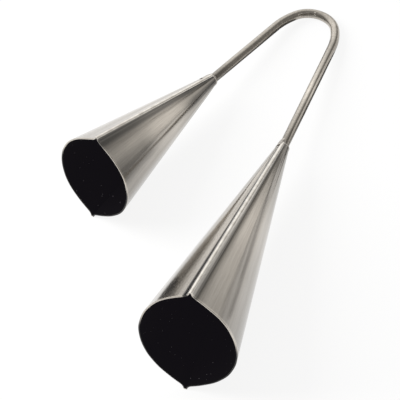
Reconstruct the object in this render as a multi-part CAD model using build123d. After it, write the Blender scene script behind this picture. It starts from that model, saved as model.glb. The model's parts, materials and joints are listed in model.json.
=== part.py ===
from build123d import *
from math import cos, radians, sin
import os

# Agogo: two sheet-metal cone bells of different pitch on one bent rod handle.
# Each bell is two pressed half shells, welded along a top and a bottom seam,
# closed round the rod by a weld collar, and coated black inside.
# It lies on a table: +Z up, +Y towards the handle's bend, mouths towards -Y.
# All sizes are millimetres and degrees.

# Handle rod
rod_diameter = 8.0
bend_radius = 22.0       # middle line of the tight part of the bend
ease_radius = 65.0       # gentle curve between the bend and each leg
ease_angle = 22.0
leg_splay = 9.0          # each leg leans out from the handle's middle line
high_leg_length = 91.0   # straight rod from the bend's end to the bell's neck
low_leg_length = 133.5
rod_insert = 14.0        # how far the rod reaches into each bell

# Bells, outside sizes at the mouth
high_bell_length = 154.0
high_mouth_width = 69.7
high_side_radius = 41.0
high_flare_radius = 6.5  # inside radius of the flared edge
high_bell_roll = -2.5    # this bell sits a little turned on its rod
low_bell_length = 225.0
low_mouth_width = 78.9
low_side_radius = 51.3
low_flare_radius = 8.0

# Sheet, shared by both bells
sheet = 1.2
flank_slope = 37.0       # where the side's arc turns into the flatter flank
crown_slope = 29.0       # the flank's least slope, where the seam flare begins
flare_slope = 78.0       # slope of the sheet's edge where the halves meet
neck_flare_radius = 2.5
neck_clearance = 0.1     # rod to the half shells

# Welds and coating
seam_gap = 0.6           # root gap between the two halves
seam_crown = 0.5
collar_diameter = 12.8
collar_length = 6.0
collar_bulge = 0.7
coat = 0.3
coat_gap = 0.1           # keeps the coat's solid clear of the sheet
coat_start = 2.0         # bare steel left beyond the rod's end

rod_radius = rod_diameter / 2
half_gap = seam_gap / 2
up = Vector(0, 0, 1)


# Seam-to-seam edge of a section as points: side arc, flatter flank arc, flared edge.
# The flank's radius follows, so that the far end lies at end_x from the seam plane.
def flank_points(half_width, side_radius, flare_radius, end_x):
    slope = radians(flank_slope)
    crown = radians(crown_slope)
    steep = radians(flare_slope)
    shoulder_x = half_width - side_radius * (1 - sin(slope))
    shoulder_y = side_radius * cos(slope)
    flare_run = flare_radius * (sin(steep) - sin(crown))
    flank_radius = (shoulder_x - end_x - flare_run) / (sin(slope) - sin(crown))

    def along_flank(angle):
        run = flank_radius * (sin(slope) - sin(angle))
        rise = flank_radius * (cos(angle) - cos(slope))
        return (shoulder_x - run, shoulder_y + rise)

    flare_x, flare_y = along_flank(crown)

    def along_flare(angle):
        run = flare_radius * (sin(angle) - sin(crown))
        rise = flare_radius * (cos(crown) - cos(angle))
        return (flare_x - run, flare_y + rise)

    return {
        "side": (half_width, 0),
        "shoulder": (shoulder_x, shoulder_y),
        "flank_middle": along_flank((slope + crown) / 2),
        "flare": (flare_x, flare_y),
        "flare_middle": along_flare((crown + steep) / 2),
        "end": along_flare(steep),
    }


# The edges of one side of a section, from its lower end to its upper end.
# hand is 1 for the +X side and -1 for the -X side.
def side_edges(plane, points, hand):
    def at(name, flip):
        x, y = points[name]
        return plane.from_local_coords((hand * x, flip * y))

    return [
        Edge.make_three_point_arc(at("end", -1), at("flare_middle", -1), at("flare", -1)),
        Edge.make_three_point_arc(at("flare", -1), at("flank_middle", -1), at("shoulder", -1)),
        Edge.make_three_point_arc(at("shoulder", -1), at("side", 1), at("shoulder", 1)),
        Edge.make_three_point_arc(at("shoulder", 1), at("flank_middle", 1), at("flare", 1)),
        Edge.make_three_point_arc(at("flare", 1), at("flare_middle", 1), at("end", 1)),
    ]


class Bell:
    def __init__(self, neck, axis, length, mouth_width, side_radius, flare_radius, roll):
        self.neck = neck
        self.axis = axis
        across = up.cross(axis).rotate(Axis((0, 0, 0), axis), roll)
        self.neck_plane = Plane(origin=neck, x_dir=across, z_dir=axis)
        self.mouth_plane = Plane(origin=neck + axis * length, x_dir=across, z_dir=axis)
        mouth_half = mouth_width / 2
        neck_half = rod_radius + neck_clearance
        edge_run = sheet * sin(radians(flare_slope))
        # Half width, side radius, flare radius and seam distance of each layer
        mouth_inside = (mouth_half - sheet, side_radius - sheet, flare_radius)
        neck_inside = (neck_half, neck_half, neck_flare_radius)
        self.layers = {}
        for layer, depth, seam_x in (
            ("outside", sheet, half_gap + edge_run),
            ("inside", 0, half_gap),
            ("coat_back", -coat_gap, half_gap),
            ("coat", -coat_gap - coat, half_gap),
        ):
            self.layers[layer] = [
                (plane, flank_points(half + depth, side + depth, flare - depth, seam_x))
                for plane, (half, side, flare) in (
                    (self.neck_plane, neck_inside),
                    (self.mouth_plane, mouth_inside),
                )
            ]

    def half_shell(self, hand):
        sections = []
        for (plane, outer), (_, inner) in zip(self.layers["outside"], self.layers["inside"]):
            outer_edges = side_edges(plane, outer, hand)
            inner_edges = side_edges(plane, inner, hand)
            upper_end = Edge.make_line(outer_edges[-1] @ 1, inner_edges[-1] @ 1)
            lower_end = Edge.make_line(inner_edges[0] @ 0, outer_edges[0] @ 0)
            sections.append(Wire(outer_edges + [upper_end] + inner_edges + [lower_end]))
        return Solid.make_loft(sections, ruled=True)

    # A weld bead in the groove between the two sheet edges; flip is 1 on top
    def seam_weld(self, flip):
        sections = []
        for (plane, outer), (_, inner) in zip(self.layers["outside"], self.layers["inside"]):
            outer_x, outer_y = outer["end"]
            inner_x, inner_y = inner["end"]
            corners = [
                plane.from_local_coords((x, flip * y))
                for x, y in (
                    (-outer_x, outer_y),
                    (-inner_x, inner_y),
                    (inner_x, inner_y),
                    (outer_x, outer_y),
                )
            ]
            crown = plane.from_local_coords((0, flip * (outer_y + seam_crown)))
            edges = [Edge.make_line(a, b) for a, b in zip(corners, corners[1:])]
            edges.append(Edge.make_three_point_arc(corners[-1], crown, corners[0]))
            sections.append(Wire(edges))
        return Solid.make_loft(sections, ruled=True)

    def hollow(self, layer):
        sections = []
        for plane, points in self.layers[layer]:
            right = side_edges(plane, points, 1)
            left = side_edges(plane, points, -1)
            top = Edge.make_line(right[-1] @ 1, left[-1] @ 1)
            bottom = Edge.make_line(left[0] @ 0, right[0] @ 0)
            sections.append(Wire(right + [top] + left + [bottom]))
        return Solid.make_loft(sections, ruled=True)

    # The black coat covers the inside from just past the rod's end to the mouth
    def black_lining(self):
        start = self.neck_plane.offset(rod_insert + coat_start)
        full = self.hollow("coat_back") - self.hollow("coat")
        return split(full, bisect_by=start, keep=Keep.TOP)

    # A weld collar round the rod, sitting on the ends of the half shells
    def neck_weld(self):
        plane = Plane(origin=self.neck, x_dir=self.neck_plane.x_dir, z_dir=self.neck_plane.y_dir)
        foot = plane.from_local_coords((rod_radius, 0))
        rim = plane.from_local_coords((collar_diameter / 2, 0))
        top = plane.from_local_coords((rod_radius, collar_length))
        slant = (top - rim).normalized()
        outward = slant.cross(plane.z_dir)
        shoulder = (rim + top) / 2 + outward * collar_bulge
        edges = [
            Edge.make_line(foot, rim),
            Edge.make_three_point_arc(rim, shoulder, top),
            Edge.make_line(top, foot),
        ]
        return revolve(Face(Wire(edges)), axis=Axis(self.neck, self.axis))

    def bottom_tip(self):
        plane, outer = self.layers["outside"][1]
        return plane.from_local_coords((0, -outer["end"][1] - seam_crown))


# Handle rod, from the high bell's end up and round to the low bell's end
rise_direction = Vector(sin(radians(leg_splay)), cos(radians(leg_splay)), 0)
fall_direction = Vector(rise_direction.X, -rise_direction.Y, 0)
bend_angle = 180 - 2 * leg_splay - 2 * ease_angle
bend_start = Vector(0, 0, 0)
high_neck = bend_start - rise_direction * high_leg_length
high_rod_end = high_neck - rise_direction * rod_insert
high_leg = Line(high_rod_end, bend_start)
ease_in = JernArc(bend_start, rise_direction, ease_radius, -ease_angle)
bend = JernArc(ease_in @ 1, ease_in % 1, bend_radius, -bend_angle)
ease_out = JernArc(bend @ 1, bend % 1, ease_radius, -ease_angle)
low_neck = (ease_out @ 1) + fall_direction * low_leg_length
low_leg = Line(ease_out @ 1, low_neck + fall_direction * rod_insert)
rod_path = Wire([high_leg, ease_in, bend, ease_out, low_leg])
rod_section = Plane(origin=high_rod_end, z_dir=rise_direction) * Circle(rod_radius)
handle_rod = sweep(rod_section, path=rod_path)

bells = {
    "high_bell": Bell(
        high_neck, -rise_direction, high_bell_length,
        high_mouth_width, high_side_radius, high_flare_radius, high_bell_roll,
    ),
    "low_bell": Bell(
        low_neck, fall_direction, low_bell_length, low_mouth_width, low_side_radius, low_flare_radius, 0
    ),
}

nodes = {"handle_rod": handle_rod}
for name, bell in bells.items():
    nodes[name + "_left_shell"] = bell.half_shell(-1)
    nodes[name + "_right_shell"] = bell.half_shell(1)
    nodes[name + "_top_seam_weld"] = bell.seam_weld(1)
    nodes[name + "_bottom_seam_weld"] = bell.seam_weld(-1)
    nodes[name + "_neck_weld"] = bell.neck_weld()
    nodes[name + "_black_lining"] = bell.black_lining()


# The table's plane touches the lower seam of each mouth and the underside of the bend.
# Where it touches the bend depends on the plane's slope, so a few rounds settle it.
def table_plane():
    low_tip = bells["low_bell"].bottom_tip()
    high_tip = bells["high_bell"].bottom_tip()
    bend_center = bend.arc_center
    touch = bend_center - up * rod_radius
    for _ in range(8):
        normal = (low_tip - touch).cross(high_tip - touch).normalized()
        if normal.Z < 0:
            normal = -normal
        downhill = Vector(-normal.X, -normal.Y, 0).normalized()
        touch = bend_center + downhill * bend_radius - normal * rod_radius
    middle_line = Vector(0, 1, 0)
    return Plane(origin=touch, x_dir=middle_line.cross(normal), z_dir=normal)


on_table = table_plane().location.inverse()
nodes = {name: on_table * shape for name, shape in nodes.items()}
box = Compound(list(nodes.values())).bounding_box()
to_origin = Pos(-box.center().X, -box.center().Y, -box.min.Z)

os.makedirs("parts", exist_ok=True)
for name, shape in nodes.items():
    export_step(to_origin * shape, "parts/" + name + ".step")
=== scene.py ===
import json
import math
import bmesh
import bpy
from mathutils import Matrix, Vector, noise


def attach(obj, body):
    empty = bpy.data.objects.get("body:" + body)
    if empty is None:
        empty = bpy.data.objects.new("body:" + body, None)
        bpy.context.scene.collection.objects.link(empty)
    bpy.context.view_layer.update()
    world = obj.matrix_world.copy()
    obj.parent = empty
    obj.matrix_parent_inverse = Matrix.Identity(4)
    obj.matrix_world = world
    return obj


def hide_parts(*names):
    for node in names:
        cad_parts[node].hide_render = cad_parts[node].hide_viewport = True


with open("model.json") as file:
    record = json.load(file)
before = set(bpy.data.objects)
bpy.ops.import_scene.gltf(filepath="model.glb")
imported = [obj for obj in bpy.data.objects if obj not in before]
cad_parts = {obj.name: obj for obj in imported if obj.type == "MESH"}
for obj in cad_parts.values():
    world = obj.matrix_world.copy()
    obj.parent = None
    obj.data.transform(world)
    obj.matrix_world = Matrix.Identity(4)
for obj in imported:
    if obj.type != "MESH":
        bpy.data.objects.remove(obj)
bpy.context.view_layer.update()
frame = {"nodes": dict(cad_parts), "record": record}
print("frame: loaded", len(frame["nodes"]), "nodes")


# the handle's two straight legs come from the record's clamp places
mounts = {mount["name"]: mount for mount in frame["record"]["mounts"]}


def legLine(mountName):
    mount = mounts[mountName]
    along = Vector(mount["axis"]).normalized()
    middle = Vector(mount["pos_m"])
    half = mount["dims"]["length_mm"] / 2000
    return {"bendEnd": middle - along * half, "weldEnd": middle + along * half, "along": along}


lowLeg = legLine("low_leg_clamp")
highLeg = legLine("high_leg_clamp")
handleUp = highLeg["along"].cross(lowLeg["along"]).normalized()


def lerp(a, b, t):
    return a + (b - a) * t


def smooth(t):
    t = min(max(t, 0.0), 1.0)
    return t * t * (3 - 2 * t)


sharpAngle = 50.0    # edges steeper than this stay sharp


def makePiece(name, verts, faces, uvs, material, nodes):
    mesh = bpy.data.meshes.new(name)
    mesh.from_pydata(verts, [], faces)
    layer = mesh.uv_layers.new(name="UVMap")
    for loop in mesh.loops:
        layer.data[loop.index].uv = uvs[loop.vertex_index]
    work = bmesh.new()
    work.from_mesh(mesh)
    bmesh.ops.recalc_face_normals(work, faces=work.faces)
    work.to_mesh(mesh)
    work.free()
    mesh.polygons.foreach_set("use_smooth", [True] * len(mesh.polygons))
    mesh.set_sharp_from_angle(angle=math.radians(sharpAngle))
    mesh.materials.append(material)
    piece = bpy.data.objects.new(name, mesh)
    bpy.context.scene.collection.objects.link(piece)
    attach(piece, "root")
    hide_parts(*nodes)
    return piece


# rings of equal length become a closed or open skin of quads
def skin(ringCount, ringLength, closedRing):
    faces = []
    last = ringLength if closedRing else ringLength - 1
    for ring in range(ringCount - 1):
        for k in range(last):
            a = ring * ringLength + k
            b = ring * ringLength + (k + 1) % ringLength
            faces.append((a, b, b + ringLength, a + ringLength))
    return faces


# closed rings whose last one joins the first, as in a ring-shaped piece
def closedSkin(ringCount, ringLength):
    faces = skin(ringCount, ringLength, True)
    last = (ringCount - 1) * ringLength
    for n in range(ringLength):
        m = (n + 1) % ringLength
        faces.append((last + n, last + m, m, n))
    return faces


# materials
def nodeTools(material):
    material.use_nodes = True
    tree = material.node_tree
    tree.nodes.clear()

    def add(kind, **values):
        node = tree.nodes.new(kind)
        for key, value in values.items():
            setattr(node, key, value)
        return node

    def join(source, target):
        tree.links.new(source, target)

    return add, join


def ramp(add, stops, easing="LINEAR"):
    node = add("ShaderNodeValToRGB")
    node.color_ramp.interpolation = easing
    while len(node.color_ramp.elements) < len(stops):
        node.color_ramp.elements.new(0.5)
    for element, (place, level) in zip(node.color_ramp.elements, stops):
        element.position = place
        element.color = (*level, 1) if isinstance(level, tuple) else (level, level, level, 1)
    return node


# noise drawn out along the metal's working direction: across and along are counts over the piece
def streaks(add, join, across, along, detail, seed):
    place = add("ShaderNodeUVMap", uv_map="UVMap")
    scale = add("ShaderNodeMapping")
    scale.inputs["Scale"].default_value = (across, along, 1)
    scale.inputs["Location"].default_value = (seed, seed * 0.37, 0)
    cloud = add("ShaderNodeTexNoise")
    cloud.inputs["Scale"].default_value = 1
    cloud.inputs["Detail"].default_value = detail
    cloud.inputs["Roughness"].default_value = 0.6
    join(place.outputs["UV"], scale.inputs["Vector"])
    join(scale.outputs["Vector"], cloud.inputs["Vector"])
    return cloud.outputs["Fac"]


def uvParts(add, join):
    place = add("ShaderNodeUVMap", uv_map="UVMap")
    apart = add("ShaderNodeSeparateXYZ")
    join(place.outputs["UV"], apart.inputs["Vector"])
    return apart


# each half shell lies at its own place in the pattern, one unit wide
patternLay = {"highLeft": -2.0, "lowLeft": 0.0, "lowRight": 2.0, "highRight": 4.0}
halfUnit = 0.5
layMargin = 0.1


# which half shell it is, the place around it from seam to seam, and the place along it
def sheetPlace(add, join):
    apart = uvParts(add, join)
    around = add("ShaderNodeMath", operation="FRACT")
    join(apart.outputs["X"], around.inputs[0])
    return {"half": apart.outputs["X"], "around": around.outputs["Value"], "along": apart.outputs["Y"]}


def above(add, join, value, limit):
    node = add("ShaderNodeMath", operation="GREATER_THAN")
    node.inputs[1].default_value = limit
    join(value, node.inputs[0])
    return node.outputs["Value"]


def times(add, join, a, b):
    node = add("ShaderNodeMath", operation="MULTIPLY")
    join(a, node.inputs[0])
    join(b, node.inputs[1])
    return node.outputs["Value"]


def darken(add, join, colour, shade, share):
    both = add("ShaderNodeMix", data_type="RGBA", blend_type="MULTIPLY")
    join(share, both.inputs["Factor"])
    join(colour, both.inputs["A"])
    join(shade, both.inputs["B"])
    return both.outputs["Result"]


# painted light and shade along the sheet's length: lighter in its middle, darker towards its neck and its
# mouth, a brighter rim, most on the right halves
def lengthLightAndShade(add, join, colour, length):
    place = sheetPlace(add, join)
    shade = ramp(add, length["along"], "EASE")
    join(place["along"], shade.inputs["Fac"])
    side = add("ShaderNodeMapRange")
    side.inputs["From Min"].default_value = patternLay["lowLeft"] + 2 * halfUnit
    side.inputs["From Max"].default_value = patternLay["lowRight"]
    side.inputs["To Min"].default_value = length["leftShare"]
    join(place["half"], side.inputs["Value"])
    return darken(add, join, colour, shade.outputs["Color"], side.outputs["Result"])


# painted shade darkens the high bell's right half near its neck and its mouth
def paintedShadeHighRight(add, join, colour, shadeLook):
    place = sheetPlace(add, join)
    shade = ramp(add, shadeLook["along"], "EASE")
    join(place["along"], shade.inputs["Fac"])
    reach = ramp(add, shadeLook["around"], "EASE")
    join(place["around"], reach.inputs["Fac"])
    highRight = above(add, join, place["half"], patternLay["highRight"] - halfUnit)
    share = times(add, join, reach.outputs["Color"], highRight)
    return darken(add, join, colour, shade.outputs["Color"], share)


# painted shade darkens the grooves beside the seams, except on the high bell's left half;
# the low bell's left half has the darkest one, towards its mouth
def paintedGrooveShade(add, join, colour, groove):
    place = sheetPlace(add, join)
    low = ramp(add, groove["low"], "EASE")
    high = ramp(add, groove["high"], "EASE")
    join(place["around"], low.inputs["Fac"])
    join(place["around"], high.inputs["Fac"])
    pick = add("ShaderNodeMix", data_type="RGBA")
    highRight = above(add, join, place["half"], patternLay["highRight"] - halfUnit)
    join(highRight, pick.inputs["Factor"])
    join(low.outputs["Color"], pick.inputs["A"])
    join(high.outputs["Color"], pick.inputs["B"])
    shadedHalves = above(add, join, place["half"], patternLay["lowLeft"] - halfUnit)
    colour = darken(add, join, colour, pick.outputs["Result"], shadedHalves)
    deep = ramp(add, groove["lowLeft"], "EASE")
    reach = ramp(add, groove["lowLeftReach"], "EASE")
    join(place["around"], deep.inputs["Fac"])
    join(place["along"], reach.inputs["Fac"])
    lowLeft = add("ShaderNodeMath", operation="COMPARE")
    lowLeft.inputs[1].default_value = patternLay["lowLeft"] + halfUnit
    lowLeft.inputs[2].default_value = halfUnit + layMargin
    join(place["half"], lowLeft.inputs[0])
    share = times(add, join, reach.outputs["Color"], lowLeft.outputs["Value"])
    return darken(add, join, colour, deep.outputs["Color"], share)


# painted highlights brighten parts of the rod, and it is darker close to each bell
def rodPaintedLight(add, join, colour, stops):
    apart = uvParts(add, join)
    shade = ramp(add, stops, "EASE")
    join(apart.outputs["Y"], shade.inputs["Fac"])
    both = add("ShaderNodeMix", data_type="RGBA", blend_type="MULTIPLY")
    both.inputs["Factor"].default_value = 1
    join(colour, both.inputs["A"])
    join(shade.outputs["Color"], both.inputs["B"])
    return both.outputs["Result"]


# the sheet is less polished near its mouth
def mouthRough(add, join, roughness, mouth):
    apart = uvParts(add, join)
    more = add("ShaderNodeMapRange", interpolation_type="SMOOTHSTEP")
    more.inputs["From Min"].default_value = mouth["from"]
    more.inputs["To Max"].default_value = mouth["extra"]
    join(apart.outputs["Y"], more.inputs["Value"])
    both = add("ShaderNodeMath", operation="ADD")
    join(roughness, both.inputs[0])
    join(more.outputs["Result"], both.inputs[1])
    return both.outputs["Value"]


# black paint from the inside reaches over the lower part of the rim's edge
def overspray(add, join, colour, spray):
    place = sheetPlace(add, join)
    low = add("ShaderNodeMapRange", interpolation_type="SMOOTHSTEP")
    low.inputs["From Min"].default_value = spray["fadeFrom"]
    low.inputs["From Max"].default_value = spray["fadeTo"]
    low.inputs["To Min"].default_value = 1
    low.inputs["To Max"].default_value = 0
    join(place["around"], low.inputs["Value"])
    edge = add("ShaderNodeMapRange", interpolation_type="SMOOTHSTEP")
    edge.inputs["From Min"].default_value = spray["edgeFrom"]
    edge.inputs["From Max"].default_value = spray["edgeTo"]
    join(place["along"], edge.inputs["Value"])
    both = add("ShaderNodeMix", data_type="RGBA")
    both.inputs["B"].default_value = (*spray["black"], 1)
    join(times(add, join, low.outputs["Result"], edge.outputs["Result"]), both.inputs["Factor"])
    join(colour, both.inputs["A"])
    return both.outputs["Result"]


# the tones that a metal can have, painted light and shade among them, in the order in which they are laid
# on
toneSteps = {
    "lengthLightAndShade": lengthLightAndShade, "paintedShadeHighRight": paintedShadeHighRight, "paintedGrooveShade": paintedGrooveShade, "rodPaintedLight": rodPaintedLight,
    "overspray": overspray}
# levels between which the noise mostly stays
noiseSpan = {"colour": (0.32, 0.68), "rough": (0.3, 0.7), "weld": (0.35, 0.65)}


def platedMetal(name, look):
    material = bpy.data.materials.new(name)
    add, join = nodeTools(material)
    out = add("ShaderNodeOutputMaterial")
    metal = add("ShaderNodeBsdfPrincipled")
    metal.inputs["Metallic"].default_value = 1
    metal.inputs["Coat Weight"].default_value = look["lacquer"]
    metal.inputs["Coat Roughness"].default_value = 0.08
    join(metal.outputs["BSDF"], out.inputs["Surface"])
    broad = streaks(add, join, *look["bands"], detail=4, seed=look["seed"])
    fine = streaks(add, join, *look["strokes"], detail=6, seed=look["seed"] + 3)
    grain = add("ShaderNodeMix", data_type="FLOAT")
    grain.inputs["Factor"].default_value = look["fineShare"]
    join(broad, grain.inputs["A"])
    join(fine, grain.inputs["B"])
    place = add("ShaderNodeTexCoord")
    spots = add("ShaderNodeTexNoise")
    spots.inputs["Scale"].default_value = look["mottleScale"]
    spots.inputs["Detail"].default_value = 3
    join(place.outputs["Object"], spots.inputs["Vector"])
    mixed = add("ShaderNodeMix", data_type="FLOAT")
    mixed.inputs["Factor"].default_value = look["mottle"]
    join(grain.outputs["Result"], mixed.inputs["A"])
    join(spots.outputs["Fac"], mixed.inputs["B"])
    darkest, lightest = noiseSpan["colour"]
    tint = ramp(add, [(darkest, look["dark"]), (lightest, look["light"])])
    join(mixed.outputs["Result"], tint.inputs["Fac"])
    colour = tint.outputs["Color"]
    for stepName, step in toneSteps.items():
        if stepName in look:
            colour = step(add, join, colour, look[stepName])
    join(colour, metal.inputs["Base Color"])
    rough = add("ShaderNodeMapRange")
    rough.inputs["From Min"].default_value = noiseSpan["rough"][0]
    rough.inputs["From Max"].default_value = noiseSpan["rough"][1]
    rough.inputs["To Min"].default_value = look["rough"][0]
    rough.inputs["To Max"].default_value = look["rough"][1]
    join(mixed.outputs["Result"], rough.inputs["Value"])
    roughness = rough.outputs["Result"]
    if "mouthRough" in look:
        roughness = mouthRough(add, join, roughness, look["mouthRough"])
    join(roughness, metal.inputs["Roughness"])
    bump = add("ShaderNodeBump")
    bump.inputs["Strength"].default_value = look["bump"]
    bump.inputs["Distance"].default_value = 0.0002
    join(mixed.outputs["Result"], bump.inputs["Height"])
    join(bump.outputs["Normal"], metal.inputs["Normal"])
    return material


def weldMetal(name, look):
    material = bpy.data.materials.new(name)
    add, join = nodeTools(material)
    out = add("ShaderNodeOutputMaterial")
    metal = add("ShaderNodeBsdfPrincipled")
    metal.inputs["Metallic"].default_value = 1
    join(metal.outputs["BSDF"], out.inputs["Surface"])
    place = add("ShaderNodeTexCoord")
    lumps = add("ShaderNodeTexNoise")
    lumps.inputs["Scale"].default_value = look["lumpScale"]
    lumps.inputs["Detail"].default_value = 5
    join(place.outputs["Object"], lumps.inputs["Vector"])
    darkest, lightest = noiseSpan["weld"]
    tint = ramp(add, [(darkest, look["dark"]), (lightest, look["light"])])
    join(lumps.outputs["Fac"], tint.inputs["Fac"])
    colour = tint.outputs["Color"]
    # painted shade darkens the weld where its slot is open
    if "slotShade" in look:
        apart = uvParts(add, join)
        slotShaded = add("ShaderNodeMix", data_type="RGBA")
        slotShaded.inputs["B"].default_value = (*look["slotShade"], 1)
        join(apart.outputs["X"], slotShaded.inputs["Factor"])
        join(colour, slotShaded.inputs["A"])
        colour = slotShaded.outputs["Result"]
    join(colour, metal.inputs["Base Color"])
    rough = add("ShaderNodeMapRange")
    rough.inputs["To Min"].default_value = look["rough"][0]
    rough.inputs["To Max"].default_value = look["rough"][1]
    join(lumps.outputs["Fac"], rough.inputs["Value"])
    join(rough.outputs["Result"], metal.inputs["Roughness"])
    bump = add("ShaderNodeBump")
    bump.inputs["Strength"].default_value = look["bump"]
    bump.inputs["Distance"].default_value = 0.0003
    join(lumps.outputs["Fac"], bump.inputs["Height"])
    join(bump.outputs["Normal"], metal.inputs["Normal"])
    return material


def blackPaint(name, look):
    material = bpy.data.materials.new(name)
    add, join = nodeTools(material)
    out = add("ShaderNodeOutputMaterial")
    paint = add("ShaderNodeBsdfPrincipled")
    paint.inputs["Specular IOR Level"].default_value = 0.03
    # a faint painted glow lifts the black evenly over its shading
    paint.inputs["Emission Color"].default_value = (*look["paintedGlow"], 1)
    paint.inputs["Emission Strength"].default_value = 1
    join(paint.outputs["BSDF"], out.inputs["Surface"])
    place = add("ShaderNodeTexCoord")
    cells = add("ShaderNodeTexVoronoi")
    cells.inputs["Scale"].default_value = look["speckScale"]
    join(place.outputs["Object"], cells.inputs["Vector"])
    speck = add("ShaderNodeMath", operation="LESS_THAN")
    speck.inputs[1].default_value = look["speckSize"]
    join(cells.outputs["Distance"], speck.inputs[0])
    chosen = add("ShaderNodeSeparateColor")
    join(cells.outputs["Color"], chosen.inputs["Color"])
    few = add("ShaderNodeMath", operation="GREATER_THAN")
    few.inputs[1].default_value = look["speckRarity"]
    join(chosen.outputs["Red"], few.inputs[0])
    dusty = times(add, join, speck.outputs["Value"], few.outputs["Value"])
    tint = add("ShaderNodeMix", data_type="RGBA")
    tint.inputs["A"].default_value = (*look["black"], 1)
    tint.inputs["B"].default_value = (*look["dust"], 1)
    join(dusty, tint.inputs["Factor"])
    join(tint.outputs["Result"], paint.inputs["Base Color"])
    grain = add("ShaderNodeTexNoise")
    grain.inputs["Scale"].default_value = look["grainScale"]
    grain.inputs["Detail"].default_value = 4
    join(place.outputs["Object"], grain.inputs["Vector"])
    rough = add("ShaderNodeMapRange")
    rough.inputs["To Min"].default_value = look["rough"][0]
    rough.inputs["To Max"].default_value = look["rough"][1]
    join(grain.outputs["Fac"], rough.inputs["Value"])
    join(rough.outputs["Result"], paint.inputs["Roughness"])
    bump = add("ShaderNodeBump")
    bump.inputs["Strength"].default_value = 0.3
    bump.inputs["Distance"].default_value = 0.0002
    join(grain.outputs["Fac"], bump.inputs["Height"])
    join(bump.outputs["Normal"], paint.inputs["Normal"])
    return material


shellMetal = platedMetal("platedShell", {
    "dark": (0.4, 0.364, 0.322), "light": (0.62, 0.579, 0.519), "rough": (0.09, 0.17),
    "bands": (14, 0.6), "strokes": (110, 7), "fineShare": 0.58, "mottle": 0.1, "mottleScale": 900,
    "bump": 0.35, "lacquer": 0.6, "mouthRough": {"from": 0.5, "extra": 0.1},
    # painted light and shade along the length of the shells
    "lengthLightAndShade": {
        "along": [(0.0, 0.5), (0.2, 0.68), (0.48, 1.0), (0.75, 0.76), (0.99, 0.62), (1.0, 1.2)],
        "leftShare": 0.3},
    # painted shade on the high bell's right half
    "paintedShadeHighRight": {
        "along": [(0.0, 0.25), (0.22, 0.38), (0.38, 1.0), (0.6, 1.0),
                  (0.78, 0.55), (0.99, 0.5), (1.0, 1.0)],
        "around": [(0.58, 0.0), (0.67, 1.0), (0.77, 0.9), (0.84, 0.35), (0.93, 0.5)]},
    # painted shade in the grooves beside the seams
    "paintedGrooveShade": {
        "low": [(0.015, 1.0), (0.032, 0.4), (0.04, 0.4), (0.055, 1.0),
                (0.945, 1.0), (0.959, 0.34), (0.967, 0.34), (0.985, 1.0)],
        "high": [(0.0, 0.7), (0.02, 0.3), (0.055, 0.3), (0.1, 1.0),
                 (0.9, 1.0), (0.945, 0.28), (0.98, 0.28), (1.0, 0.7)],
        "lowLeft": [(0.94, 1.0), (0.957, 0.06), (0.97, 0.06), (0.986, 1.0)],
        "lowLeftReach": [(0.2, 0.0), (0.5, 0.55), (0.8, 1.0)]},
    "overspray": {
        "fadeFrom": 0.5, "fadeTo": 0.64, "edgeFrom": 1.001, "edgeTo": 1.003,
        "black": (0.012, 0.011, 0.012)},
    "seed": 4.0})
rodMetal = platedMetal("platedRod", {
    "dark": (0.28, 0.255, 0.224), "light": (0.62, 0.581, 0.523), "rough": (0.16, 0.3),
    "bands": (3.5, 4), "strokes": (26, 4.5), "fineShare": 0.55, "mottle": 0.35, "mottleScale": 520,
    "bump": 0.5, "lacquer": 0.0,
    # painted highlights along the rod, darker close to each bell
    "rodPaintedLight": [(0.05, 0.62), (0.11, 0.97), (0.38, 1.0), (0.41, 1.2), (0.44, 1.15), (0.475, 0.86),
                (0.55, 1.0), (0.63, 1.32), (0.69, 1.0), (0.74, 0.92), (0.785, 0.72)],
    "seed": 11.0})
seamMetal = weldMetal("seamBead", {
    "dark": (0.66, 0.623, 0.57), "light": (0.85, 0.813, 0.755), "rough": (0.12, 0.2),
    "bump": 0.04, "lumpScale": 160})
neckMetal = weldMetal("neckBead", {
    "dark": (0.42, 0.39, 0.35), "light": (0.68, 0.645, 0.595), "rough": (0.25, 0.5),
    # painted shade for the neck bead's open slot
    "bump": 0.4, "lumpScale": 420, "slotShade": (0.02, 0.018, 0.016)})
liningPaint = blackPaint("blackPaint", {
    # the black paint carries a faint painted glow
    "black": (0.0011, 0.001, 0.0011), "paintedGlow": (0.0058, 0.005, 0.0066), "dust": (0.13, 0.12, 0.13),
    "rough": (0.7, 0.95), "speckScale": 240, "speckSize": 0.09, "speckRarity": 0.4, "grainScale": 700})
print("materials: plated metal, weld metal and black paint ready")


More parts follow.
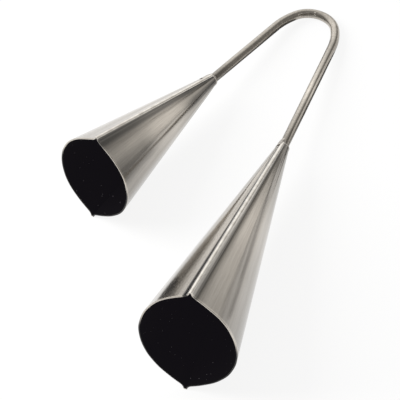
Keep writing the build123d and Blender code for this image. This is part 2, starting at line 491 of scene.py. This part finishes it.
# bells: two half shells, two seam beads, a neck bead and a black lining each
sheetForm = {
    "thickness": 0.0012, "flankSlope": 37.0, "crownSlope": 29.0, "flareSlope": 78.0,
    "neckFlare": 0.0025, "neckInside": 0.0041, "seamGap": 0.0006,
    "rimRound": 0.00045, "rimSquareness": 0.6, "rimStrip": 0.0004, "rimPattern": 0.01, "rimSteps": 7,
    "flareSteps": 16, "flankSteps": 14, "sideSteps": 30, "stations": 80,
    "waveHeight": 0.0003, "waveAcross": 11.0, "waveAlong": 0.8, "waveApart": 5.0,
    "waveSeamFade": 0.1, "waveNeckFade": 0.12, "pressNeckFade": 0.25}
bellForms = {
    "low_bell": {
        "leg": lowLeg, "length": 0.225, "mouthWidth": 0.0789, "sideRadius": 0.0513, "flareRadius": 0.008,
        "roll": 0.0, "seed": 2.0,
        "leftStart": 0.005, "slotWidth": 0.0024, "weldReach": 0.009, "weldLump": 0.0009,
        "leftLay": patternLay["lowLeft"], "rightLay": patternLay["lowRight"],
        "leftPress": [(0.7, 0.0), (0.84, 0.00024), (0.945, -0.00024), (1.0, 0.0)]},
    "high_bell": {
        "leg": highLeg, "length": 0.154, "mouthWidth": 0.0697, "sideRadius": 0.041, "flareRadius": 0.0065,
        "roll": -2.5, "seed": 9.0,
        "leftStart": 0.0122, "slotWidth": 0.0026, "weldReach": 0.004, "weldLump": 0.0004,
        "leftLay": patternLay["highLeft"], "rightLay": patternLay["highRight"],
        "leftPress": []}}
collarForm = {
    "length": 0.006, "rings": 110, "leftTurn": 0.5,
    "rightReach": 0.0028, "leftLap": 0.0015, "rightLap": 0.001,
    "swell": 0.00018, "tuck": 0.0002, "bite": 0.0001, "boreBite": 0.0003, "lapFade": 0.06, "rodFade": 0.25,
    "broadLumps": (1.3, 2.0), "fineLumps": (2.6, 3.5), "fineLumpShare": 0.35, "lumpFades": (0.35, 0.4),
    "slotFrom": 94.0, "slotTo": 178.0, "slotFades": (0.25, 0.5), "slotEdge": 0.0005, "slotFloor": 0.00005,
    "slotRagged": 0.3, "slotRagAngle": 14.0}
seamForm = {
    "crown": 0.0005, "ripple": 0.00002, "pitch": 0.004, "longRipple": 1.5, "longPitch": 6,
    "stations": 260, "crownSteps": 8}
liningForm = {"thickness": 0.0003, "start": 0.016, "setBack": 0.0006, "stations": 70}


# one side of a section from the lower seam to the upper one: flare, flank, side, flank, flare
def halfSection(halfWidth, sideRadius, flareRadius, endX):
    slope = math.radians(sheetForm["flankSlope"])
    crown = math.radians(sheetForm["crownSlope"])
    steep = math.radians(sheetForm["flareSlope"])
    shoulder = Vector((halfWidth - sideRadius * (1 - math.sin(slope)), sideRadius * math.cos(slope)))
    flareRun = flareRadius * (math.sin(steep) - math.sin(crown))
    flankRadius = (shoulder.x - endX - flareRun) / (math.sin(slope) - math.sin(crown))
    upper = []
    for k in range(sheetForm["sideSteps"] + 1):
        angle = (math.pi / 2 - slope) * k / sheetForm["sideSteps"]
        upper.append(Vector((halfWidth - sideRadius * (1 - math.cos(angle)), sideRadius * math.sin(angle))))
    for k in range(1, sheetForm["flankSteps"] + 1):
        angle = lerp(slope, crown, k / sheetForm["flankSteps"])
        step = Vector((math.sin(angle) - math.sin(slope), math.cos(angle) - math.cos(slope)))
        upper.append(shoulder + step * flankRadius)
    flare = upper[-1]
    for k in range(1, sheetForm["flareSteps"] + 1):
        angle = lerp(crown, steep, k / sheetForm["flareSteps"])
        step = Vector((math.sin(crown) - math.sin(angle), math.cos(crown) - math.cos(angle)))
        upper.append(flare + step * flareRadius)
    lower = [Vector((p.x, -p.y)) for p in reversed(upper[1:])]
    return lower + upper


class Bell:
    def __init__(self, name, form):
        self.name = name
        self.length = form["length"]
        self.seed = form["seed"]
        self.leftPress = form["leftPress"]
        self.leftStart = form["leftStart"]    # the left half is shorter at the neck, weld fills the rest
        self.slotWidth = form["slotWidth"]
        self.weldReach = form["weldReach"]
        self.weldLump = form["weldLump"]
        self.lay = {-1: form["leftLay"], 1: form["rightLay"]}    # each half's place in the pattern
        self.along = form["leg"]["along"]
        turn = Matrix.Rotation(math.radians(form["roll"]), 3, self.along)
        self.up = turn @ handleUp
        self.across = self.up.cross(self.along).normalized()
        self.neck = form["leg"]["weldEnd"] + self.along * collarForm["length"]
        thick = sheetForm["thickness"]
        gap = sheetForm["seamGap"] / 2
        edge = gap + thick * math.sin(math.radians(sheetForm["flareSlope"]))
        half = form["mouthWidth"] / 2
        inside = sheetForm["neckInside"]
        self.mouthOuter = halfSection(half, form["sideRadius"], form["flareRadius"] - thick, edge)
        self.mouthInner = halfSection(half - thick, form["sideRadius"] - thick, form["flareRadius"], gap)
        self.neckOuter = halfSection(inside + thick, inside + thick, sheetForm["neckFlare"] - thick, edge)
        self.neckInner = halfSection(inside, inside, sheetForm["neckFlare"], gap)
        self.count = len(self.mouthOuter)
        run = [0.0]
        for a, b in zip(self.mouthOuter, self.mouthOuter[1:]):
            run.append(run[-1] + (b - a).length)
        self.share = [r / run[-1] for r in run]

    def place(self, x, y, s):
        return self.neck + self.along * s + self.across * x + self.up * y

    # the sheet is a little wavy from forming, least at its seams and neck;
    # a left half can have a press mark
    def wave(self, hand, k, f):
        u = self.share[k]
        fade = smooth(min(u, 1 - u) / sheetForm["waveSeamFade"]) * smooth(f / sheetForm["waveNeckFade"])
        across = u * sheetForm["waveAcross"] + self.seed
        spot = Vector((across, f * sheetForm["waveAlong"], hand * sheetForm["waveApart"]))
        height = sheetForm["waveHeight"] * fade * noise.noise(spot)
        if hand < 0:
            for (u0, h0), (u1, h1) in zip(self.leftPress, self.leftPress[1:]):
                if u0 <= u < u1:
                    press = lerp(h0, h1, smooth((u - u0) / (u1 - u0)))
                    height += press * smooth(f / sheetForm["pressNeckFade"])
        return height

    # depth 0 is the outside of the sheet and 1 its inside
    def sheetPoint(self, hand, k, f, depth):
        outer = lerp(self.neckOuter[k], self.mouthOuter[k], f)
        inner = lerp(self.neckInner[k], self.mouthInner[k], f)
        out = (outer - inner) / sheetForm["thickness"]
        spot = lerp(outer, inner, depth) + out * self.wave(hand, k, f)
        return self.place(hand * spot.x, spot.y, f * self.length)

    def halfShell(self, side, hand):
        steps = sheetForm["stations"]
        tail = 1 - sheetForm["rimRound"] / self.length
        square = sheetForm["rimSquareness"]
        verts, uvs = [], []
        ringLength = 0
        # an extra ring close to the rim keeps the shading of the long faces clean
        start = self.leftStart / self.length if hand < 0 else 0.0
        stations = [lerp(start, tail, j / (steps - 1)) for j in range(steps - 1)]
        stations += [tail - sheetForm["rimStrip"] / self.length, tail]
        for k in range(self.count):
            ring = [(self.sheetPoint(hand, k, f, 0), f) for f in stations]
            a, b = self.sheetPoint(hand, k, tail, 0), self.sheetPoint(hand, k, tail, 1)
            for r in range(1, sheetForm["rimSteps"]):
                angle = math.pi * r / sheetForm["rimSteps"]
                flat = math.copysign(abs(math.cos(angle)) ** square, math.cos(angle))
                bulge = math.sin(angle) ** square * sheetForm["rimRound"]
                spot = (a + b) / 2 + (a - b) / 2 * flat + self.along * bulge
                ring.append((spot, 1 + sheetForm["rimPattern"] * r / sheetForm["rimSteps"]))
            ring += [(self.sheetPoint(hand, k, f, 1), f) for f in reversed(stations)]
            ringLength = len(ring)
            verts += [p for p, v in ring]
            uvs += [(self.share[k] + self.lay[hand], v) for p, v in ring]
        faces = skin(self.count, ringLength, True)
        # the two long edges in the seams
        for first, flip in ((0, 1), ((self.count - 1) * ringLength, -1)):
            for j in range(steps):
                quad = (first + j, first + j + 1, first + ringLength - 2 - j, first + ringLength - 1 - j)
                faces.append(quad[::flip])
            rim = tuple(range(first + steps, first + ringLength - steps))
            faces.append(rim[::flip])
        nodeName = self.name + "_" + side + "_shell"
        return makePiece(nodeName + "_plated", verts, faces, uvs, shellMetal, [nodeName])

    def seamBead(self, place, flip):
        verts, uvs = [], []
        steps = seamForm["crownSteps"]
        for j in range(seamForm["stations"] + 1):
            f = j / seamForm["stations"]
            outer = lerp(self.neckOuter[-1], self.mouthOuter[-1], f)
            inner = lerp(self.neckInner[-1], self.mouthInner[-1], f)
            s = f * self.length
            pitch = s / seamForm["pitch"]
            ripple = noise.noise(Vector((pitch, self.seed, flip)))
            slow = noise.noise(Vector((pitch / seamForm["longPitch"], flip, self.seed)))
            ripple = (ripple + slow * seamForm["longRipple"]) * seamForm["ripple"]
            ring = [Vector((-inner.x, inner.y)), Vector((inner.x, inner.y))]
            for k in range(steps + 1):
                angle = math.pi * k / steps
                x = outer.x * math.cos(angle)
                ring.append(Vector((x, outer.y + (seamForm["crown"] + ripple) * math.sin(angle))))
            verts += [self.place(p.x, flip * p.y, s) for p in ring]
            uvs += [(k / len(ring), f) for k in range(len(ring))]
        ringLength = len(ring)
        faces = skin(seamForm["stations"] + 1, ringLength, True)
        faces.append(tuple(range(ringLength)))
        faces.append(tuple(range(len(verts) - ringLength, len(verts)))[::-1])
        nodeName = self.name + "_" + place + "_seam_weld"
        return makePiece(nodeName + "_bead", verts, faces, uvs, seamMetal, [nodeName])

    # the columns round the neck, up the right half and down the left one
    def bothHalves(self):
        return [(1, k) for k in range(self.count)] + [(-1, k) for k in range(self.count - 1, -1, -1)]

    # lumps of the weld, t runs from the cone to the rod
    def lumpHeight(self, ring, t):
        around, along = collarForm["broadLumps"]
        fineAround, fineAlong = collarForm["fineLumps"]
        lump = noise.noise(Vector((ring.x * around + self.seed, ring.y * around, t * along)))
        fine = noise.noise(Vector((ring.x * fineAround, ring.y * fineAround + self.seed, t * fineAlong)))
        lump += collarForm["fineLumpShare"] * fine
        lapFade, rodFade = collarForm["lumpFades"]
        return lump * self.weldLump * smooth(t / lapFade) * smooth((1 - t) / rodFade)

    # how open the weld is here: 1 in the slot before the left half's end, 0 elsewhere
    def slotShare(self, ring, s):
        angle = math.degrees(math.atan2(ring.y, ring.x))
        share = (angle - collarForm["slotFrom"]) / (collarForm["slotTo"] - collarForm["slotFrom"])
        if not 0 < share < 1:
            return 0.0
        ragged = noise.noise(Vector((angle / collarForm["slotRagAngle"], self.seed, 0)))
        topFade, lowFade = collarForm["slotFades"]
        width = self.slotWidth * smooth(share / topFade) * smooth((1 - share) / lowFade)
        width *= 1 + collarForm["slotRagged"] * ragged
        return smooth((s - self.leftStart + width) / collarForm["slotEdge"])

    # a lumpy ring of weld from the rod onto the cone, with a slot left open at the left half's end,
    # darkened by painted shade
    def neckBead(self):
        around = self.bothHalves()
        rodRadius = rodForm["diameter"] / 2
        ends = []
        for hand, k in around:
            ring = Vector((hand * self.neckOuter[k].x, self.neckOuter[k].y)).normalized()
            left = smooth(collarForm["leftTurn"] - ring.x)
            lapEnd = collarForm["rightLap"] if hand > 0 else self.leftStart + collarForm["leftLap"]
            rodEnd = lerp(collarForm["rightReach"], self.weldReach, left)
            ends.append((ring, left, lapEnd, rodEnd))
        verts, uvs = [], []
        for j in range(collarForm["rings"] + 1):
            t = j / collarForm["rings"]
            rise = smooth(t / collarForm["lapFade"])
            swell = lerp(-collarForm["tuck"], collarForm["swell"], rise)
            swell *= smooth((1 - t) / collarForm["rodFade"])
            for (hand, k), (_, left, lapEnd, rodEnd) in zip(around, ends):
                s = lerp(lapEnd, -rodEnd, t)
                spot = lerp(self.neckOuter[k], self.mouthOuter[k], max(s, 0) / self.length)
                ring = Vector((hand * spot.x, spot.y)).normalized()
                radius = lerp(spot.length, rodRadius - collarForm["bite"], smooth(-s / rodEnd))
                radius += swell + left * self.lumpHeight(ring, t)
                slot = self.slotShare(ring, s)
                radius = lerp(radius, rodRadius + collarForm["slotFloor"], slot)
                verts.append(self.place(radius * ring.x, radius * ring.y, s))
                uvs.append((slot, t))
        # close it with a bore just inside the rod
        bore = rodRadius - collarForm["boreBite"]
        for atLap in (False, True):
            for ring, _, lapEnd, rodEnd in ends:
                verts.append(self.place(bore * ring.x, bore * ring.y, lapEnd if atLap else -rodEnd))
                uvs.append((0, 0))
        faces = closedSkin(collarForm["rings"] + 3, len(around))
        nodeName = self.name + "_neck_weld"
        return makePiece(nodeName + "_bead", verts, faces, uvs, neckMetal, [nodeName])

    def blackLining(self):
        verts, uvs = [], []
        steps = liningForm["stations"]
        firstF = liningForm["start"] / self.length
        lastF = 1 - liningForm["setBack"] / self.length
        deep = 1 + liningForm["thickness"] / sheetForm["thickness"]
        around = self.bothHalves()
        stations = [(lerp(firstF, lastF, j / steps), 1.0) for j in range(steps + 1)]
        stations += [(f, deep) for f, _ in reversed(stations)]
        for f, depth in stations:
            for n, (hand, k) in enumerate(around):
                verts.append(self.sheetPoint(hand, k, f, depth))
                uvs.append((n / len(around), f))
        faces = closedSkin(len(stations), len(around))
        nodeName = self.name + "_black_lining"
        return makePiece(nodeName + "_paint", verts, faces, uvs, liningPaint, [nodeName])


# the handle: straight legs, gentle curves and one tight bend
rodForm = {
    "diameter": 0.008, "bendRadius": 0.022, "easeRadius": 0.065, "easeAngle": 22.0, "insert": 0.014,
    "legSteps": 60, "easeSteps": 40, "bendSteps": 110, "around": 120,
    "ovality": 0.02, "easeOvality": 0.3, "roughness": 0.00005, "roughAround": 1.5, "roughAlong": 60,
    "patternAlong": 2.4, "joinGap": 1e-7}
bendMark = {
    "upper": 51.0, "deepest": 37.0, "lower": 30.0, "depth": 0.0007,
    "from": 0.125, "to": 0.1495, "fadeIn": 0.008, "fadeOut": 0.002,
    "burrAt": 0.1478, "burrAngle": 43.0, "burrSize": 0.0017, "burrHeight": 0.0009}


# the bending tool left a groove on the inside of the bend, with a small burr at its end
def markDepth(run, angle):
    degrees = math.degrees(angle)
    fall = (bendMark["upper"] - degrees) / (bendMark["upper"] - bendMark["deepest"])
    rise = (degrees - bendMark["lower"]) / (bendMark["deepest"] - bendMark["lower"])
    groove = bendMark["depth"] * max(min(fall, rise), 0.0)
    groove *= smooth((run - bendMark["from"]) / bendMark["fadeIn"])
    groove *= smooth((bendMark["to"] - run) / bendMark["fadeOut"])
    arc = math.radians(degrees - bendMark["burrAngle"]) * rodForm["diameter"] / 2
    away = math.hypot(run - bendMark["burrAt"], arc)
    burr = bendMark["burrHeight"] * smooth(1 - away / bendMark["burrSize"])
    return groove - burr


def handleRod():
    # heading along the middle line, with the bend turning about the handle's own up direction
    heading = -highLeg["along"]
    point = highLeg["weldEnd"] + highLeg["along"] * (collarForm["length"] + rodForm["insert"])
    legRun = (point - highLeg["bendEnd"]).length
    rings = [(point.copy(), heading.copy(), 0.0)]
    for k in range(1, rodForm["legSteps"] + 1):
        rings.append((point + heading * (legRun * k / rodForm["legSteps"]), heading.copy(), 0.0))
    point = highLeg["bendEnd"].copy()
    turn = math.degrees(heading.angle(lowLeg["along"]))
    ease = (rodForm["easeRadius"], rodForm["easeAngle"], rodForm["easeSteps"], rodForm["easeOvality"])
    bend = (rodForm["bendRadius"], turn - 2 * rodForm["easeAngle"], rodForm["bendSteps"], 1.0)
    arcs = (ease, bend, ease)
    for radius, angle, steps, squeeze in arcs:
        for k in range(steps):
            part = math.radians(angle) / steps
            half = Matrix.Rotation(-part / 2, 3, handleUp)
            heading = half @ heading
            point = point + heading * (2 * radius * math.sin(part / 2))
            heading = half @ heading
            rings.append((point.copy(), heading.copy(), squeeze))
    legRun = (lowLeg["weldEnd"] - lowLeg["bendEnd"]).length + collarForm["length"] + rodForm["insert"]
    for k in range(1, rodForm["legSteps"] + 1):
        step = lowLeg["along"] * (legRun * k / rodForm["legSteps"])
        rings.append((point + step, lowLeg["along"].copy(), 0.0))
    verts, uvs = [], []
    run = 0.0
    radius = rodForm["diameter"] / 2
    around = rodForm["around"]
    for n, (middle, direction, squeeze) in enumerate(rings):
        if n:
            run += (middle - rings[n - 1][0]).length
        side = direction.cross(handleUp).normalized()
        for k in range(around + 1):
            angle = 2 * math.pi * k / around
            flat = 1 - rodForm["ovality"] * squeeze * math.cos(2 * angle)
            ring = Vector((math.cos(angle), math.sin(angle))) * rodForm["roughAround"]
            bump = rodForm["roughness"] * noise.noise(Vector((ring.x, ring.y, run * rodForm["roughAlong"])))
            reach = radius * flat + bump - markDepth(run, angle)
            spread = (side * math.cos(angle) + handleUp * math.sin(angle)) * reach
            verts.append(middle + spread)
            uvs.append((k / around, run * rodForm["patternAlong"]))
    faces = skin(len(rings), around + 1, False)
    faces.append(tuple(range(around + 1)))
    faces.append(tuple(range(len(verts) - around - 1, len(verts)))[::-1])
    rod = makePiece("handle_rod_plated", verts, faces, uvs, rodMetal, ["handle_rod"])
    # the pattern's join leaves doubled points along the rod
    work = bmesh.new()
    work.from_mesh(rod.data)
    bmesh.ops.remove_doubles(work, verts=work.verts, dist=rodForm["joinGap"])
    bmesh.ops.recalc_face_normals(work, faces=work.faces)
    work.to_mesh(rod.data)
    work.free()
    return rod


handleRod()
print("handle: rod bent and placed")

for bellName, bellForm in bellForms.items():
    bell = Bell(bellName, bellForm)
    bell.halfShell("left", -1)
    bell.halfShell("right", 1)
    bell.seamBead("top", 1)
    bell.seamBead("bottom", -1)
    bell.neckBead()
    bell.blackLining()
    print("bell:", bellName, "built")


# floor, light and camera
floorLook = {
    "size": 8.0, "white": (0.95, 0.95, 0.95), "grey": (0.6, 0.595, 0.59), "middle": (-0.01, -0.02),
    "whiteReach": 0.3, "greyReach": 0.7, "glow": 0.88, "mirrorGlow": 0.8}
cardLooks = {
    "darkCard": {
        "path": [(0.062, 0.081, 0.04), (0.088, 0.02, 0.039),
                 (0.109, -0.046, 0.049), (0.132, -0.116, 0.061)],
        "spread": (0, 0, 0.009), "tone": (0.08, 0.075, 0.07), "glow": 0.0,
        "dense": [(0.0, 0.0), (0.5, 0.65), (1.0, 0.0)], "ends": [(0.0, 1.0), (1.0, 1.0)]},
    "whiteCard": {
        "path": [(-0.6, 0.2, 0.065), (-0.2, 0.6, 0.065)],
        "spread": (0, 0, 0.06), "tone": (1.0, 0.99, 0.975), "glow": 1.25,
        "dense": [(0.0, 1.0), (0.7, 1.0), (1.0, 0.0)], "ends": [(0.0, 1.0), (1.0, 1.0)]},
    # dark sheets on the floor: painted shadow of the handle's legs, seen only in reflections
    "highLegShadowSheet": {
        "path": [(-0.042, 0.074, 0.001), (-0.036, 0.114, 0.001),
                 (-0.029, 0.16, 0.001), (-0.01, 0.178, 0.001)],
        "spread": (0.024, -0.004, 0), "tone": (0.06, 0.055, 0.05), "glow": 0.0,
        "dense": [(0.0, 0.0), (0.2, 0.9), (0.8, 0.9), (1.0, 0.0)],
        "ends": [(0.0, 0.0), (0.3, 1.0), (1.0, 1.0)]},
    "lowLegShadowSheet": {
        "path": [(0.056, 0.17, 0.001), (0.065, 0.112, 0.001), (0.075, 0.052, 0.001)],
        "spread": (0.05, 0.007, 0), "tone": (0.06, 0.055, 0.05), "glow": 0.0,
        "dense": [(0.0, 0.0), (0.14, 0.9), (0.8, 0.9), (1.0, 0.0)],
        "ends": [(0.0, 1.0), (0.6, 1.0), (1.0, 0.0)]}}
lightLook = {
    "dim": [(0.0, (0.25, 0.242, 0.23)), (0.5, (0.24, 0.232, 0.22)), (1.0, (0.36, 0.354, 0.345))],
    "lobes": [
        {"azimuth": -60.0, "height": 24.0, "wide": 66.0, "narrow": 22.0, "level": (1.25, 1.24, 1.22)},
        {"azimuth": 32.0, "height": 3.0, "wide": 20.0, "narrow": 11.0, "level": (1.05, 1.033, 1.005)}],
    "boxes": [{"place": (-1.08, -0.39, 0.96), "size": 1.0, "power": 26.0}]}
viewLook = {
    "place": (0.55744, -0.87958, 1.26594), "aim": (0.00419, -0.05074, 0.03), "roll": -6.297,
    "focalPixels": 1979.7, "frameWidth": 400.0}


def layFloor():
    half = floorLook["size"] / 2
    mesh = bpy.data.meshes.new("floor")
    corners = [(-half, -half, 0), (half, -half, 0), (half, half, 0), (-half, half, 0)]
    mesh.from_pydata(corners, [], [(0, 1, 2, 3)])
    floor = bpy.data.objects.new("floor", mesh)
    bpy.context.scene.collection.objects.link(floor)
    material = bpy.data.materials.new("paleFloor")
    add, join = nodeTools(material)
    out = add("ShaderNodeOutputMaterial")
    paper = add("ShaderNodeBsdfDiffuse")
    glow = add("ShaderNodeEmission")
    both = add("ShaderNodeMixShader")
    join(both.outputs["Shader"], out.inputs["Surface"])
    join(paper.outputs["BSDF"], both.inputs[1])
    join(glow.outputs["Emission"], both.inputs[2])
    # the floor's colour, and its glow outside camera rays, fade from white round the object to grey farther
    # out: a painted pool of light
    place = add("ShaderNodeNewGeometry")
    away = add("ShaderNodeVectorMath", operation="DISTANCE")
    away.inputs[1].default_value = (*floorLook["middle"], 0)
    join(place.outputs["Position"], away.inputs[0])
    reach = add("ShaderNodeMapRange", interpolation_type="SMOOTHSTEP")
    reach.inputs["From Min"].default_value = floorLook["whiteReach"]
    reach.inputs["From Max"].default_value = floorLook["greyReach"]
    join(away.outputs["Value"], reach.inputs["Value"])
    tone = ramp(add, [(0.0, floorLook["white"]), (1.0, floorLook["grey"])])
    join(reach.outputs["Result"], tone.inputs["Fac"])
    join(tone.outputs["Color"], paper.inputs["Color"])
    rays = add("ShaderNodeLightPath")
    unseen = add("ShaderNodeMath", operation="SUBTRACT")
    unseen.inputs[0].default_value = 1
    join(rays.outputs["Is Camera Ray"], unseen.inputs[1])
    glowTone = ramp(add, [(0.0, (1.0, 1.0, 1.0)), (1.0, floorLook["grey"])])
    join(times(add, join, reach.outputs["Result"], unseen.outputs["Value"]), glowTone.inputs["Fac"])
    join(glowTone.outputs["Color"], glow.inputs["Color"])
    mirrored = add("ShaderNodeMath", operation="MAXIMUM")
    join(rays.outputs["Is Glossy Ray"], mirrored.inputs[0])
    join(rays.outputs["Is Transmission Ray"], mirrored.inputs[1])
    seen = add("ShaderNodeMath", operation="MULTIPLY")
    seen.inputs[1].default_value = floorLook["glow"]
    join(rays.outputs["Is Camera Ray"], seen.inputs[0])
    share = add("ShaderNodeMath", operation="MULTIPLY_ADD")
    share.inputs[1].default_value = floorLook["mirrorGlow"]
    join(mirrored.outputs["Value"], share.inputs[0])
    join(seen.outputs["Value"], share.inputs[2])
    join(share.outputs["Value"], both.inputs["Fac"])
    mesh.materials.append(material)


# cards with soft edges, out of the camera's sight: a dark one draws the line in the low bell's right flank,
# a white one lights its left flank, and two dark sheets on the floor are painted shadow that darkens the
# right side of the handle's legs
def standCard(name, look):
    spread = Vector(look["spread"])
    verts = []
    for place in look["path"]:
        verts += [Vector(place) - spread, Vector(place) + spread]
    faces = [(k, k + 2, k + 3, k + 1) for k in range(0, len(verts) - 2, 2)]
    mesh = bpy.data.meshes.new(name)
    mesh.from_pydata(verts, [], faces)
    layer = mesh.uv_layers.new(name="UVMap")
    for loop in mesh.loops:
        step = loop.vertex_index // 2
        layer.data[loop.index].uv = (step / (len(look["path"]) - 1), loop.vertex_index % 2)
    card = bpy.data.objects.new(name, mesh)
    bpy.context.scene.collection.objects.link(card)
    card.visible_camera = False
    card.visible_shadow = False
    card.visible_diffuse = False
    material = bpy.data.materials.new(name)
    add, join = nodeTools(material)
    out = add("ShaderNodeOutputMaterial")
    felt = add("ShaderNodeEmission" if look["glow"] else "ShaderNodeBsdfDiffuse")
    felt.inputs["Color"].default_value = (*look["tone"], 1)
    if look["glow"]:
        felt.inputs["Strength"].default_value = look["glow"]
    clear = add("ShaderNodeBsdfTransparent")
    apart = uvParts(add, join)
    dense = ramp(add, look["dense"], "EASE")
    ends = ramp(add, look["ends"], "EASE")
    join(apart.outputs["Y"], dense.inputs["Fac"])
    join(apart.outputs["X"], ends.inputs["Fac"])
    both = add("ShaderNodeMixShader")
    join(times(add, join, dense.outputs["Color"], ends.outputs["Color"]), both.inputs["Fac"])
    join(clear.outputs["BSDF"], both.inputs[1])
    join(felt.outputs[0], both.inputs[2])
    join(both.outputs["Shader"], out.inputs["Surface"])
    mesh.materials.append(material)


def lightStudio():
    world = bpy.data.worlds.new("studio")
    bpy.context.scene.world = world
    add, join = nodeTools(world)
    out = add("ShaderNodeOutputWorld")
    sky = add("ShaderNodeBackground")
    join(sky.outputs["Background"], out.inputs["Surface"])
    place = add("ShaderNodeTexCoord")
    apart = add("ShaderNodeSeparateXYZ")
    join(place.outputs["Generated"], apart.inputs["Vector"])
    height = ramp(add, lightLook["dim"], "EASE")
    join(apart.outputs["Z"], height.inputs["Fac"])
    tone = height.outputs["Color"]
    for lobe in lightLook["lobes"]:
        azimuth, lift = math.radians(lobe["azimuth"]), math.radians(lobe["height"])
        toward = add("ShaderNodeVectorMath", operation="DOT_PRODUCT")
        toward.inputs[1].default_value = (
            math.sin(azimuth) * math.cos(lift), math.cos(azimuth) * math.cos(lift), math.sin(lift))
        join(place.outputs["Generated"], toward.inputs[0])
        share = add("ShaderNodeMapRange", interpolation_type="SMOOTHSTEP")
        share.inputs["From Min"].default_value = math.cos(math.radians(lobe["wide"]))
        share.inputs["From Max"].default_value = math.cos(math.radians(lobe["narrow"]))
        join(toward.outputs["Value"], share.inputs["Value"])
        level = add("ShaderNodeMix", data_type="RGBA")
        level.inputs["B"].default_value = (*lobe["level"], 1)
        join(share.outputs["Result"], level.inputs["Factor"])
        join(tone, level.inputs["A"])
        tone = level.outputs["Result"]
    join(tone, sky.inputs["Color"])
    for n, box in enumerate(lightLook["boxes"]):
        lamp = bpy.data.lights.new("softbox%d" % n, "AREA")
        lamp.shape = "SQUARE"
        lamp.size = box["size"]
        lamp.energy = box["power"]
        holder = bpy.data.objects.new("softbox%d" % n, lamp)
        holder.location = box["place"]
        holder.rotation_euler = (-Vector(box["place"])).to_track_quat("-Z", "Y").to_euler()
        holder.visible_glossy = False
        bpy.context.scene.collection.objects.link(holder)


def setCamera():
    lens = bpy.data.cameras.new("view")
    lens.sensor_fit = "HORIZONTAL"
    lens.sensor_width = 36.0
    lens.lens = viewLook["focalPixels"] / viewLook["frameWidth"] * lens.sensor_width
    camera = bpy.data.objects.new("view", lens)
    bpy.context.scene.collection.objects.link(camera)
    sight = Vector(viewLook["aim"]) - Vector(viewLook["place"])
    roll = Matrix.Rotation(math.radians(viewLook["roll"]), 3, "Z")
    turn = sight.to_track_quat("-Z", "Y").to_matrix() @ roll
    camera.matrix_world = Matrix.Translation(viewLook["place"]) @ turn.to_4x4()
    bpy.context.scene.camera = camera


layFloor()
for cardName, cardLook in cardLooks.items():
    standCard(cardName, cardLook)
lightStudio()
setCamera()
bpy.context.scene.view_settings.view_transform = "Standard"
print("stage: floor, light and camera set")
